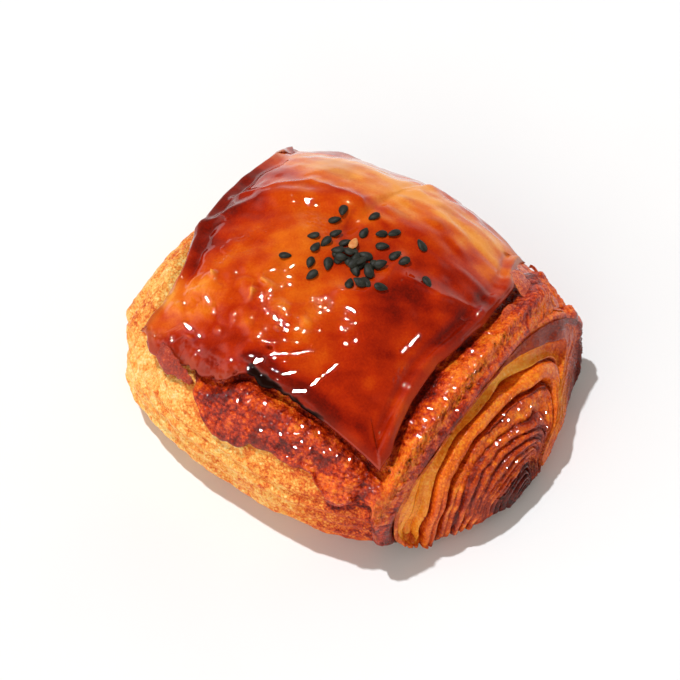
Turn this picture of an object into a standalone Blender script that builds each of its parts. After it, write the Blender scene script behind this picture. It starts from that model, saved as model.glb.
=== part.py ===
"""A laminated puff pastry roll with a thin square sheet of glazed dough baked on top.

Run with: blender --background --python part.py

Two solids. The roll is one loft: a run of cross-sections along x, closed at each end by rings that
step inwards over the coiled layers. The sheet is a grid draped over the roll and given thickness,
with black sesame seeds fused to it. x runs along the roll, y across it, z up, and the part stands
on z = 0 with its box centred on the origin. Sizes are in millimetres until a mesh is made.
"""

import math
import random

import bmesh
import bpy
import numpy as np
from mathutils import Matrix, Vector

MM = 0.001
COLLECTION = "laminated_pastry"

# The roll: its cross-section is a rounded arch, wider in front (-y) than behind.
SHEET_CENTRE = (-5.9, 4.5)  # where the sheet's middle lies in the part's frame
RIM_LEFT, RIM_RIGHT = -36.0, 44.2  # ends of the outer wrap, from the sheet's middle
SECTION_LEFT = -39.0  # the cross-section stops tapering here
FRONT_REACH, BACK_REACH = 51.6, 42.5
FRONT_TAPER, BACK_TAPER = 10.5, 8.5  # lost 40 mm away from the widest place
CREST_Y, WAIST_Z, TOP_Z = 5.0, 13.0, 44.8
DROP_LEFT, DROP_RIGHT = 15.5, 14.0  # the crest is this much lower 43 mm from the middle
ARCH_POWER, FOOT_POWER = 2.15, 3.8
FLAT_CUT = 1.04  # cuts the foot's curve off flat at the floor

# The coils that show at both ends, as (x, y, z) of the middle and half-sizes of the inner coil.
COIL_RIGHT, COIL_RIGHT_HALF = (58.5, -8.0, 11.0), (18.0, 10.0)
COIL_LEFT, COIL_LEFT_HALF = (-48.5, -15.5, 12.5), (14.0, 8.5)
COIL_EDGE = 0.45  # share of the way out from the middle at which the inner coil ends

# The right end's layers are arches one inside another. Each band is (level, width) in that nest.
NEST_Y, NEST_TOP, NEST_POWER = -8.0, 30.9, 2.4
NEST_FRONT, NEST_BACK, NEST_CURL = 33.0, 41.0, 8.0
NEST_CURLS = (6.0, 22.0)  # heights between which the far legs curl in
BAND, BAND_DEPTH = (0.91, 0.04), 1.7
GROOVE, GROOVE_DEPTH = (0.752, 0.02), 1.6
CAVITY, CAVITY_DEPTH = (0.85, 0.04), 2.2
LAYER_STEP = 0.156

# The left end's pillow is notched in front, over a lower lobe.
NOTCH_TURN, LOBE_TURN = 182.0, 188.0

# The browned outer layer: its torn edge on the front, as a start in degrees of turn and steps along x
# of (step, from, to), and what stands up along its edges, as heights and widths.
EDGE_START = 143.0
EDGE_STEPS = ((21.0, -17.0, -4.0), (-6.0, 1.0, 8.0), (8.0, 23.0, 29.0), (-5.0, 31.0, 37.0), (28.0, 38.0, 42.0))
WRAP_FROM = (-27, -22)
CRUST_THICK, LIP_HEIGHT, LIP_WIDTH = 0.9, 0.5, 4.0
COLLAR_X, COLLAR_WIDTH, COLLAR_HEIGHT = 39.5, 2.2, 1.3
COLLAR_BACK, COLLAR_FRONT = (20, 50), (162, 192)  # degrees of turn over which it dies away
PLEAT_HEIGHT, PLEAT_PITCH = 0.35, 3.9
PLEAT_TURNS = ((150, 175), (200, 215))
FLAKE_HEIGHT, FLAKE_TURN, FLAKE_PITCH = 0.8, 40.0, 19.5
FLAKE_FROM = (22, 34)
LOBE_HEIGHT, LOBE_SPREAD = 1.3, 12.0
NOTCH_DEPTH, NOTCH_SPREAD = 2.8, 15.0
COIL_GROOVE, COIL_GROOVE_DEPTH = (0.72, 0.07), 2.0

# The sheet and what lies on it.
SHEET_HALF = 35.8
SHEET_THICK = 1.3
SHEET_SINK = 2.8  # how far the roll is pressed in under the sheet
DEEPEST_FOLD = -1.0  # keeps the sheet clear of the roll
SHEET_CELLS = 30
FREE_FROM = 0.8  # past this share of the arch's reach the sheet runs on straight
SEED_SIZE = (3.5, 2.2, 1.2)
SEED_SINK = 0.15
SEED_MIDDLE = (4.5, -1.4)
HEAP_SEEDS, HEAP_SPREAD = 24, (3.6, 2.6)
LOOSE_SEEDS, LOOSE_NEAR, LOOSE_FAR = 18, 8.0, 18.0
LOOSE_FAN = (15.0, 235.0)  # degrees round the heap over which the loose seeds fell
DRAW = 1309

# How finely the roll is faceted.
AROUND = 72
STATIONS = 26
RINGS_RIGHT = (0.96, 0.92, 0.87, 0.8, 0.72, 0.66, 0.61, 0.55, 0.5, 0.45, 0.4, 0.34, 0.28, 0.21, 0.14, 0.07)
RINGS_LEFT = (0.93, 0.85, 0.77, 0.7, 0.6, 0.45, 0.3, 0.15)


def bump(value, middle, width):
    """A smooth hump of height 1 at middle."""
    return np.exp(-(((value - middle) / width) ** 2))


def rise(value, low, high):
    """0 below low, 1 above high, and smooth between."""
    t = np.clip((value - low) / (high - low), 0.0, 1.0)
    return t * t * (3 - 2 * t)


def reaches(x):
    """How far the cross-section at x runs forward and back from its crest."""
    front = FRONT_REACH - FRONT_TAPER * np.abs((x - 4) / 40) ** 3
    back = BACK_REACH - BACK_TAPER * np.abs((x - 2) / 40) ** 2.2
    back = back - 2.0 * np.clip(-x / 39, 0, 1) ** 4
    return front + CREST_Y, back - CREST_Y


def crest(x):
    """Height of the cross-section at x."""
    left = DROP_LEFT * np.abs(x / 43) ** 2.6
    right = DROP_RIGHT * np.abs(x / 43) ** 2.4
    return TOP_Z - np.where(x < 0, left, right)


def section(x, turn):
    """y and z of the cross-section: turn 0 is the back, a quarter turn is the top."""
    x = np.clip(x, SECTION_LEFT, RIM_RIGHT)
    front, back = reaches(x)
    c, s = np.cos(turn), np.sin(turn)
    power = np.where(s > 0, ARCH_POWER, FOOT_POWER)
    y = CREST_Y + np.where(c < 0, front, back) * np.sign(c) * np.abs(c) ** (2 / power)
    up = np.abs(s) ** (2 / power)
    above = WAIST_Z + (crest(x) - WAIST_Z) * up
    below = WAIST_Z * np.maximum(1 - FLAT_CUT * up, 0)
    return y, np.where(s > 0, above, below)


def rim_right(turn):
    """The outer wrap's right edge slants: set back at the top and forward at the foot."""
    c, s = np.cos(turn), np.sin(turn)
    low = np.clip(-s, 0, 1)
    return RIM_RIGHT + 9.5 * low**1.5 - 1.5 * np.clip(-c, 0, 1) ** 2 + 5.0 * np.clip(c, 0, 1) ** 2


def rim_left(turn):
    """The left edge slants the same way, less."""
    c, s = np.cos(turn), np.sin(turn)
    return RIM_LEFT - 5.5 * np.clip(-s, 0, 1) - 1.0 * np.clip(-c, 0, 1)


def right_end(share, turn):
    """A ring of the right end: share 1 is the wrap's edge, and 0 the middle of the coil."""
    rim_y, rim_z = section(np.full_like(turn, RIM_RIGHT), turn)
    c, s = np.cos(turn), np.sin(turn)
    x0, y0, z0 = COIL_RIGHT
    coil = (x0 - 3.0 - 4.5 * s + 2.0 * c, y0 + COIL_RIGHT_HALF[0] * c, z0 + 1 + COIL_RIGHT_HALF[1] * s)
    rim = (rim_right(turn), rim_y, rim_z)
    if share > COIL_EDGE:
        w = (share - COIL_EDGE) / (1 - COIL_EDGE)
        return [r * w + k * (1 - w) for r, k in zip(rim, coil)]
    q = share / COIL_EDGE
    return [m + (k - m) * g for m, k, g in zip(COIL_RIGHT, coil, (q**2, q, q))]


def left_end(share, turn):
    """The left end is a round pale pillow, so it swells out quickly from the wrap's edge."""
    rim_y, rim_z = section(rim_left(turn), turn)
    c, s = np.cos(turn), np.sin(turn)
    x0, y0, z0 = COIL_LEFT
    coil = (x0 + 1.5 + 1.5 * s, y0 + COIL_LEFT_HALF[0] * c, z0 + COIL_LEFT_HALF[1] * s)
    rim = (rim_left(turn), rim_y, rim_z)
    if share > COIL_EDGE:
        w = (share - COIL_EDGE) / (1 - COIL_EDGE)
        swell = 1 - w ** (1.4 + 0.8 * np.clip(-s, 0, 1))
        return [rim[0] + (coil[0] - rim[0]) * swell] + [
            r * w + k * (1 - w) for r, k in zip(rim[1:], coil[1:])
        ]
    q = share / COIL_EDGE
    return [m + (k - m) * g for m, k, g in zip(COIL_LEFT, coil, (q**2, q, q))]


def crust_edge(x):
    """Turn, in degrees, at which the browned outer layer stops on the front: a start and steps along x."""
    return EDGE_START + sum(step * rise(x, low, high) for step, low, high in EDGE_STEPS)


def sheet_wander(u, v):
    """How far the sheet's edges stray from a square, at shares u, v of its half."""
    left = 8.0 * rise(v, -0.85, 0.15) - 3.0 - 1.6 * rise(v, 0.2, 0.8) + 4.0 * rise(v, 0.6, 1.0)
    right = 2.6 * bump(v, -0.4, 0.35) + 5.0 * rise(v, 0.5, 1.0)
    front = 1.0 + 4.4 * rise(-u, 0.02, 0.25) * rise(u, -1.0, -0.8)
    back = 4.5 * bump(u, 0.0, 0.7) - 3.0 * rise(u, 0.6, 1.0)
    return left, right, front, back


def pressed_in(x, y, z):
    """1 under the sheet and 0 past its edges, where the roll stands as high as the sheet."""
    left, right, front, back = sheet_wander(x / SHEET_HALF, y / SHEET_HALF)
    inside_x = SHEET_HALF - np.where(x < 0, -x - left, x + right)
    inside_y = SHEET_HALF - np.where(y < 0, -y - front, y - back)
    return rise(inside_x, -4.0, -0.8) * rise(inside_y, -4.0, -0.8) * rise(z, 15, 20)


def skin_relief(x, turn, z):
    """Height of the roll's surface over its plain section."""
    degrees = np.degrees(turn)
    over = z > WAIST_Z
    wrapped = rise(x, *WRAP_FROM) * over
    crust = CRUST_THICK * rise(crust_edge(x) - degrees, -3, 3) * wrapped
    lip = LIP_HEIGHT * bump(degrees, crust_edge(x) - LIP_WIDTH, LIP_WIDTH) * wrapped
    arch = rise(degrees, *COLLAR_BACK) * (1 - rise(degrees, *COLLAR_FRONT))
    collar = COLLAR_HEIGHT * bump(x, COLLAR_X, COLLAR_WIDTH) * arch
    pale = rise(degrees, *PLEAT_TURNS[0]) * (1 - rise(degrees, *PLEAT_TURNS[1]))
    pleats = PLEAT_HEIGHT * pale * np.sin(math.tau * z / PLEAT_PITCH + 1.2 * np.sin(x / 7))
    behind = rise(x, *FLAKE_FROM) * rise(FLAKE_TURN - degrees, 0, 12)
    flakes = FLAKE_HEIGHT * behind * np.sin(math.tau * degrees / FLAKE_PITCH)
    lobe = LOBE_HEIGHT * bump(degrees, LOBE_TURN, LOBE_SPREAD) * rise(-x, 24, 34)
    return crust + lip + collar + pleats + flakes + lobe


def nest_level(y, z):
    """1 on the outermost arch of the right end's nest and less on each one inside it.

    The rule is a superellipse that stands on the tray, (|y| / width)^p + (z / top)^p, and the width
    behind the middle shrinks towards the foot, where the layers curl in under the coil.
    """
    curl = NEST_CURL + (NEST_BACK - NEST_CURL) * rise(z, *NEST_CURLS)
    width = np.where(y < NEST_Y, NEST_FRONT, curl)
    across, up = np.abs(y - NEST_Y) / width, z / NEST_TOP
    return (across**NEST_POWER + up**NEST_POWER) ** (1 / NEST_POWER)


def right_relief(share, turn):
    """Steps and grooves over the nested layers of the right end, which stand on the tray in a comb."""
    _, y, z = right_end(share, turn)
    level = nest_level(y, z)
    band = -BAND_DEPTH * bump(level, *BAND) - GROOVE_DEPTH * bump(level, *GROOVE)
    cavity = -CAVITY_DEPTH * bump(level, *CAVITY) * bump(y, 2.5, 4.5) * rise(z, 18, 22)
    layers = 0.6 * np.cos((level - GROOVE[0]) * 2 * math.pi / LAYER_STEP) * rise(GROOVE[0] - level, 0, 0.03)
    feet = 0.7 * np.cos(level * 2 * math.pi / LAYER_STEP) * rise(18 - z, 0, 6)
    return (band + cavity - layers + feet) * rise(share, 0, 0.05)


def left_relief(share, turn):
    """A groove between the wrap's pillow and the coil inside it, a notch in front and a lobe under it."""
    degrees = np.degrees(turn)
    open_turns = rise(degrees, 20, 60) * (1 - rise(degrees, 210, 235))
    groove = -COIL_GROOVE_DEPTH * bump(share, *COIL_GROOVE) * open_turns
    fade = rise(share, 0.25, 0.6) * (1 - rise(share, 0.8, 1.0))
    notch = -NOTCH_DEPTH * bump(degrees, NOTCH_TURN, NOTCH_SPREAD) * fade
    lobe = LOBE_HEIGHT * bump(degrees, LOBE_TURN, LOBE_SPREAD) * rise(share, 0.88, 1)
    pillow = 0.8 * bump(share, 0.86, 0.08) - 0.5 * bump(share, 0.3, 0.1)
    return groove + notch + lobe + pillow


def outward(grid):
    """Unit normals of a grid of rings that closes around its second index."""
    along = np.gradient(grid, axis=0)
    around = np.roll(grid, -1, axis=1) - np.roll(grid, 1, axis=1)
    normal = np.cross(around, along)
    return normal / np.maximum(np.linalg.norm(normal, axis=2, keepdims=True), 1e-9)


def roll_rings():
    """Every ring of the roll from the left coil's middle to the right one's, with its relief."""
    turn = np.arange(AROUND) / AROUND * 2 * math.pi
    rings, reliefs = [], []
    for share in reversed(RINGS_LEFT):
        rings.append(left_end(share, turn))
        reliefs.append(left_relief(share, turn))
    for station in range(STATIONS):
        t = station / (STATIONS - 1)
        x = rim_left(turn) * (1 - t) + rim_right(turn) * t
        y, z = section(x, turn)
        rings.append([x, y, z])
        reliefs.append(skin_relief(x, turn, z))
    for share in RINGS_RIGHT:
        rings.append(right_end(share, turn))
        reliefs.append(right_relief(share, turn))
    grid = np.array(rings).transpose(0, 2, 1)
    press = pressed_in(*grid.transpose(2, 0, 1))
    lift = np.array(reliefs) * rise(grid[:, :, 2], 0.5, 4.0) * (1 - press) - SHEET_SINK * press
    moved = grid + outward(grid) * lift[:, :, None]
    moved[:, :, 2] = np.where(grid[:, :, 2] <= 0, 0, np.maximum(moved[:, :, 2], 0))
    return moved


def make_roll():
    """Loft the rings into one closed body."""
    bm = bmesh.new()
    rings = [[bm.verts.new(p * MM) for p in ring] for ring in roll_rings()]
    for ring, following in zip(rings, rings[1:]):
        for i in range(AROUND):
            j = (i + 1) % AROUND
            bm.faces.new((ring[i], ring[j], following[j], following[i]))
    for ring, middle in ((rings[0], COIL_LEFT), (rings[-1], COIL_RIGHT)):
        hub = bm.verts.new(Vector(middle) * MM)
        for i in range(AROUND):
            bm.faces.new((ring[i], ring[(i + 1) % AROUND], hub))
    bmesh.ops.recalc_face_normals(bm, faces=bm.faces)
    bmesh.ops.triangulate(bm, faces=bm.faces)
    return as_object("rolled_pastry", bm)


def arch_height(x, y):
    """Height of the plain section over (x, y), running on straight past FREE_FROM."""
    front, back = reaches(np.clip(x, SECTION_LEFT, RIM_RIGHT))
    r = np.abs(y - CREST_Y) / np.where(y < CREST_Y, front, back)
    held = np.minimum(r, FREE_FROM)
    up = (1 - held**ARCH_POWER) ** (1 / ARCH_POWER)
    slope = held ** (ARCH_POWER - 1) * up ** (1 - ARCH_POWER)
    return WAIST_Z + (crest(x) - WAIST_Z) * (up - slope * (r - held))


def sheet_plan(u, v):
    """Plan position of the sheet's grid point: its edges wander a little."""
    left, right, front, back = sheet_wander(u, v)
    sideways = left * rise(-u, 0, 1) + right * rise(u, 0, 1)
    lengthways = front * rise(-v, 0.3, 1) - back * rise(v, 0, 1)
    return SHEET_HALF * u - sideways, SHEET_HALF * v - lengthways


def sheet_folds(x, y):
    """Height of the sheet's folds, lifted edges and dimples over the arch."""
    ridge = 1.1 * bump(y - 0.2 * x - 14 + 0.02 * (x + 12) ** 2, 0, 3) * rise(-x, -2, 8)
    crease = -0.8 * bump(x - 0.1 * (y - 15) + 2, 0, 1.8) * rise(y, 2, 10)
    swell = 1.4 * bump(x, 12, 12) * bump(y, 26, 12)
    hollow = -0.5 * bump(x, 3, 9) * bump(y, 3, 8)
    pit = -0.7 * bump(x, 30, 2.2) * bump(y, 7, 2.2)
    lip = 0.9 * rise(x, 31, 34.5)
    gaping = 2.2 * np.clip((-y - 20) / 17, 0, 1.1) ** 2 * bump(x, 6, 12)
    corners = 2.0 * rise(np.abs(x) + np.abs(y), 58, 70) * (1 - 0.8 * rise(x + y, 40, 60))
    ripples = 0.35 * np.sin(x / 4.1 + 1.3) * np.sin(y / 5.3 + 0.4)
    folds = ridge + crease + swell + hollow + pit + lip + gaping + corners + ripples
    return np.maximum(folds, DEEPEST_FOLD)


def sheet_point(x, y, over):
    """The sheet's outer face at (x, y), moved along the arch's normal by its folds and over."""
    step = 0.2
    slope_x = (arch_height(x + step, y) - arch_height(x - step, y)) / (2 * step)
    slope_y = (arch_height(x, y + step) - arch_height(x, y - step)) / (2 * step)
    normal = np.stack([-slope_x, -slope_y, np.ones_like(slope_x)], axis=-1)
    normal /= np.linalg.norm(normal, axis=-1, keepdims=True)
    foot = np.stack([x, y, arch_height(x, y)], axis=-1)
    return foot + normal * (sheet_folds(x, y) + over)[..., None], normal


def make_sheet():
    """Drape a grid over the roll, then thicken it inwards."""
    bpy.ops.mesh.primitive_grid_add(x_subdivisions=SHEET_CELLS, y_subdivisions=SHEET_CELLS, size=2)
    obj = bpy.context.object
    uv = np.array([v.co[:2] for v in obj.data.vertices])
    x, y = sheet_plan(uv[:, 0], uv[:, 1])
    points, _ = sheet_point(x, y, np.zeros_like(x))
    for vertex, point in zip(obj.data.vertices, points):
        vertex.co = point * MM
    solid = obj.modifiers.new("thickness", "SOLIDIFY")
    solid.thickness = SHEET_THICK * MM
    solid.offset = -1
    solid.use_even_offset = True
    return named(obj, "glazed_top_sheet")


def seed_places():
    """Places and headings of the seeds: a heap in the middle and loose ones fanned out round it."""
    draw = random.Random(DRAW)
    places = []
    while len(places) < HEAP_SEEDS:
        x, y = (draw.gauss(middle, spread) for middle, spread in zip(SEED_MIDDLE, HEAP_SPREAD))
        near = [p for p in places if math.hypot(p[0] - x, p[1] - y) < 1.7]
        if len(near) < 2:
            places.append((x, y, draw.uniform(0, math.tau), 0.75 * len(near)))
    first, last = LOOSE_FAN
    for i in range(LOOSE_SEEDS):
        way = math.radians(first + (last - first) * (i + draw.random()) / LOOSE_SEEDS)
        reach = draw.uniform(LOOSE_NEAR, LOOSE_FAR)
        x, y = SEED_MIDDLE[0] + reach * math.cos(way), SEED_MIDDLE[1] + reach * math.sin(way)
        places.append((x, y, draw.uniform(0, math.tau), 0.0))
    return places


def make_seed(place, holder):
    """One seed: a flattened drop lying on the sheet."""
    x, y, heading, stacked = place
    over = SEED_SIZE[2] / 2 - SEED_SINK + stacked
    points, normals = sheet_point(np.array([x]), np.array([y]), np.array([over]))
    bm = bmesh.new()
    bmesh.ops.create_uvsphere(bm, u_segments=5, v_segments=4, radius=0.5)
    for vertex in bm.verts:
        narrow = 1 - 0.5 * vertex.co.x
        vertex.co = Vector((vertex.co.x, vertex.co.y * narrow, vertex.co.z)) * Vector(SEED_SIZE) * MM
    lean = Vector(normals[0]).to_track_quat("Z", "Y").to_matrix().to_4x4()
    turned = Matrix.Translation(Vector(points[0]) * MM) @ lean @ Matrix.Rotation(heading, 4, "Z")
    bmesh.ops.transform(bm, matrix=turned, verts=bm.verts)
    mesh = bpy.data.meshes.new("seed")
    bm.to_mesh(mesh)
    bm.free()
    holder.objects.link(bpy.data.objects.new("seed", mesh))


def fuse_seeds(sheet):
    """Join the seeds to the sheet with one union, then drop the loose seed objects."""
    holder = bpy.data.collections.new("seeds_to_fuse")
    bpy.context.scene.collection.children.link(holder)
    for place in seed_places():
        make_seed(place, holder)
    union = sheet.modifiers.new("seeds", "BOOLEAN")
    union.operation = "UNION"
    union.operand_type = "COLLECTION"
    union.collection = holder
    union.solver = "EXACT"
    bpy.context.view_layer.update()
    graph = bpy.context.evaluated_depsgraph_get()
    fused = bpy.data.meshes.new_from_object(sheet.evaluated_get(graph))
    sheet.modifiers.clear()
    sheet.data = fused
    for seed in list(holder.objects):
        bpy.data.objects.remove(seed)
    bpy.data.collections.remove(holder)


def as_object(name, bm):
    mesh = bpy.data.meshes.new(name)
    bm.to_mesh(mesh)
    bm.free()
    obj = bpy.data.objects.new(name, mesh)
    bpy.context.scene.collection.objects.link(obj)
    return named(obj, name)


def named(obj, name):
    """Name the object and move it to the part's collection."""
    obj.name = obj.data.name = name
    for holder in list(obj.users_collection):
        holder.objects.unlink(obj)
    bpy.data.collections[COLLECTION].objects.link(obj)
    return obj


def paint(obj, colour, roughness):
    """Give the object its own plain material."""
    material = bpy.data.materials.new(obj.name)
    material.use_nodes = True
    shader = material.node_tree.nodes["Principled BSDF"]
    shader.inputs["Base Color"].default_value = (*colour, 1)
    shader.inputs["Roughness"].default_value = roughness
    shader.inputs["Metallic"].default_value = 0.0
    material.diffuse_color = (*colour, 1)
    obj.data.materials.clear()
    obj.data.materials.append(material)


def main():
    for obj in list(bpy.data.objects):
        bpy.data.objects.remove(obj)
    bpy.context.scene.collection.children.link(bpy.data.collections.new(COLLECTION))
    roll = make_roll()
    sheet = make_sheet()
    fuse_seeds(sheet)
    for obj in (roll, sheet):
        obj.location = (SHEET_CENTRE[0] * MM, SHEET_CENTRE[1] * MM, 0)
    paint(roll, (0.55, 0.25, 0.07), 0.55)
    paint(sheet, (0.42, 0.09, 0.02), 0.12)


main()
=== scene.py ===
import bpy
import bmesh
import math
import random
import numpy as np
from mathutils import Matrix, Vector


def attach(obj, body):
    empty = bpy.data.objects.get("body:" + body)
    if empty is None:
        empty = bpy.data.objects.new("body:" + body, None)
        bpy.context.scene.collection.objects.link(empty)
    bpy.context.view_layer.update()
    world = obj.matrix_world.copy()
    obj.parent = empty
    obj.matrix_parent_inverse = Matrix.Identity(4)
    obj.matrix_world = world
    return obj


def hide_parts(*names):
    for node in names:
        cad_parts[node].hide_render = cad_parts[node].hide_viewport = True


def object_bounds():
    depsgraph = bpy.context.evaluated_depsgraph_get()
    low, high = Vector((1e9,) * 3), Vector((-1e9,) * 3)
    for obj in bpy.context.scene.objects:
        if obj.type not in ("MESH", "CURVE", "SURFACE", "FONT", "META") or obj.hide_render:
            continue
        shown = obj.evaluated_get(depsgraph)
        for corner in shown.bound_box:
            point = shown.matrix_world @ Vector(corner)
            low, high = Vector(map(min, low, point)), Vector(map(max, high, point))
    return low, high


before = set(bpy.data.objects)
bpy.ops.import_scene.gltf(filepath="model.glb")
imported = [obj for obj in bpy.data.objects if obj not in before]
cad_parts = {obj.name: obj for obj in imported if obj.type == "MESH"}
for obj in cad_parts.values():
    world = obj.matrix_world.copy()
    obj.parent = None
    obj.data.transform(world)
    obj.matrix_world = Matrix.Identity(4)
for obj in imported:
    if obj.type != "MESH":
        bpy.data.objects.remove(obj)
cad_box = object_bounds()

# ---------------------------------------------------------------------------------------------
# Pale dough of the roll. Butter-laminated dough, rolled along x, proved and baked standing on its
# seam, so its sides swell out in a pillow, its left end is a smooth round coil and its foot is flat.
# The front stays pale gold, because it rose out from under the browned outer layer.

MM = 0.001
SHEET_CENTRE = (-5.9, 4.5)  # the square sheet's middle; every length here is in millimetres from it
RIM_LEFT, RIM_RIGHT = -36.0, 44.2
SECTION_LEFT = -39.0
FRONT_REACH, BACK_REACH = 51.6, 42.5
FRONT_TAPER, BACK_TAPER = 10.5, 8.5
CREST_Y, WAIST_Z, TOP_Z = 5.0, 13.0, 44.8
DROP_LEFT, DROP_RIGHT = 15.5, 14.0
ARCH_POWER, FOOT_POWER = 2.15, 3.8
FLAT_CUT = 1.04
COIL_LEFT, COIL_LEFT_HALF = (-48.5, -15.5, 12.5), (14.0, 8.5)
COIL_EDGE = 0.45
SHEET_HALF, SHEET_SINK = 35.8, 2.8
EASE = 1.0
EDGE_START = 143.0
EDGE_STEPS = (  # degrees by which the torn edge steps, and the x between which it does
    (21.0, -17.0, -4.0), (-6.0, 1.0, 8.0), (8.0, 23.0, 29.0), (-5.0, 31.0, 37.0), (28.0, 38.0, 42.0),
)
WELD, SLIVER = 0.000001, 0.0000001  # metres: nearer points are merged, and shorter edges dissolved
PALE_BAKE, UNDERSIDE_BAKE = 0.25, 0.35
GLOW_COLOURS, GLOW_REACH = (1.0, 0.45, 0.2), 0.0016  # how far red, green and blue light pass in


def bump(value, middle, width):
    """A smooth hump: e to the minus ((value - middle) / width) squared."""
    return np.exp(-(((value - middle) / width) ** 2))


def rise(value, low, high):
    """Smoothstep: 0 below low, 1 above high, 3t^2 - 2t^3 between."""
    t = np.clip((value - low) / (high - low), 0.0, 1.0)
    return t * t * (3 - 2 * t)


def cloud(points, size, seed):
    """Soft noise from -1 to 1: random numbers on a lattice of that size, blended between its corners."""
    rng = np.random.default_rng(seed)
    table, mix = rng.uniform(-1, 1, 4096), rng.permutation(4096)
    place = points / size
    cell = np.floor(place).astype(int)
    part = place - cell
    part = part * part * (3 - 2 * part)
    total = 0.0
    for corner in np.ndindex(*(2,) * points.shape[-1]):
        key, weight = 0, 1.0
        for axis, step in enumerate(corner):
            key = mix[(cell[..., axis] + step + key) % 4096]
            weight = weight * (part[..., axis] if step else 1 - part[..., axis])
        total = total + table[key] * weight
    return total


def blisters(a, b, spacing, seed):
    """Round-topped bubbles: one in each cell of a jittered grid, height the square root of
    1 - (distance / radius) squared, and the tallest of the nine cells around each point."""
    rng = np.random.default_rng(seed)
    side = 97
    shift_a, shift_b, radius = rng.uniform(0.2, 0.8, (3, side, side))
    tall = np.zeros_like(a)
    cell_a, cell_b = np.floor(a / spacing).astype(int), np.floor(b / spacing).astype(int)
    for step_a in (-1, 0, 1):
        for step_b in (-1, 0, 1):
            i, j = cell_a + step_a, cell_b + step_b
            at = (i % side, j % side)
            away = np.hypot(a / spacing - i - shift_a[at], b / spacing - j - shift_b[at])
            reach = 0.25 + 0.5 * radius[at]
            tall = np.maximum(tall, reach * np.sqrt(np.clip(1 - (away / reach) ** 2, 0, 1)))
    return tall


def reaches(x):
    """Half-widths of the arch at x: the reach less its taper times |x - middle| / 40 to a power."""
    front = FRONT_REACH - FRONT_TAPER * np.abs((x - 4) / 40) ** 3
    back = BACK_REACH - BACK_TAPER * np.abs((x - 2) / 40) ** 2.2
    back = back - 2.0 * np.clip(-x / 39, 0, 1) ** 4
    return front + CREST_Y, back - CREST_Y


def crest(x):
    """Height of the arch at x: the top less its drop towards either end."""
    left = DROP_LEFT * np.abs(x / 43) ** 2.6
    right = DROP_RIGHT * np.abs(x / 43) ** 2.4
    return TOP_Z - np.where(x < 0, left, right)


def section(x, turn):
    """Superellipse arch round x: y = reach * cos^(2/p), z = waist + rise * sin^(2/p), flat below."""
    x = np.clip(x, SECTION_LEFT, RIM_RIGHT)
    front, back = reaches(x)
    c, s = np.cos(turn), np.sin(turn)
    power = np.where(s > 0, ARCH_POWER, FOOT_POWER)
    y = CREST_Y + np.where(c < 0, front, back) * np.sign(c) * np.abs(c) ** (2 / power)
    up = np.abs(s) ** (2 / power)
    above = WAIST_Z + (crest(x) - WAIST_Z) * up
    below = WAIST_Z * np.maximum(1 - FLAT_CUT * up, 0)
    return y, np.where(s > 0, above, below)


def rim_right(turn):
    """x of the outer layer's right edge: forward at the foot and at the back."""
    c, s = np.cos(turn), np.sin(turn)
    low = np.clip(-s, 0, 1)
    return RIM_RIGHT + 9.5 * low**1.5 - 1.5 * np.clip(-c, 0, 1) ** 2 + 5.0 * np.clip(c, 0, 1) ** 2


def rim_left(turn):
    """x of the left edge: set out at the foot."""
    c, s = np.cos(turn), np.sin(turn)
    return RIM_LEFT - 5.5 * np.clip(-s, 0, 1) - 1.0 * np.clip(-c, 0, 1)


def end_rings(share, rim, coil, middle, swell):
    """Rings from the rim (share 1) in to the middle (share 0): straight blends of rim and coil
    outside COIL_EDGE, with x blended by swell, and a shallow dome inside it."""
    w = np.clip((share - COIL_EDGE) / (1 - COIL_EDGE), 0, 1)
    outer = rim * w[..., None] + coil * (1 - w[..., None])
    outer[..., 0] = rim[..., 0] + (coil[..., 0] - rim[..., 0]) * (1 - w**swell)
    q = np.clip(share / COIL_EDGE, 0, 1)
    inner = middle + (coil - middle) * np.stack([q**2, q, q], axis=-1)
    return np.where((share > COIL_EDGE)[..., None], outer, inner)


def left_end(share, turn):
    """The left end's rings: a round pillow that swells from the rim to the coil."""
    c, s = np.cos(turn), np.sin(turn)
    x0, y0, z0 = COIL_LEFT
    coil = np.stack([x0 + 1.5 + 1.5 * s, y0 + COIL_LEFT_HALF[0] * c, z0 + COIL_LEFT_HALF[1] * s], axis=-1)
    rim = np.stack([rim_left(turn), *section(rim_left(turn), turn)], axis=-1)
    return end_rings(share, rim, coil, np.array(COIL_LEFT), 1.4 + 0.8 * np.clip(-s, 0, 1))


def sheet_wander(u, v):
    """How far the sheet's left, right, front and back edges stray from a square, at shares u, v."""
    left = 8.0 * rise(v, -0.85, 0.15) - 3.0 - 1.6 * rise(v, 0.2, 0.8) + 4.0 * rise(v, 0.6, 1.0)
    right = 2.6 * bump(v, -0.4, 0.35) + 5.0 * rise(v, 0.5, 1.0)
    front = 1.0 + 4.4 * rise(-u, 0.02, 0.25) * rise(u, -1.0, -0.8)
    back = 4.5 * bump(u, 0.0, 0.7) - 3.0 * rise(u, 0.6, 1.0)
    return left, right, front, back


def pressed_in(x, y, z):
    """1 under the sheet and 0 a few millimetres past its edges."""
    left, right, front, back = sheet_wander(x / SHEET_HALF, y / SHEET_HALF)
    inside_x = SHEET_HALF - np.where(x < 0, -x - left, x + right)
    inside_y = SHEET_HALF - np.where(y < 0, -y - front, y - back)
    return rise(inside_x, -4.0, -0.8) * rise(inside_y, -4.0, -0.8) * rise(z, 15, 20)


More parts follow.
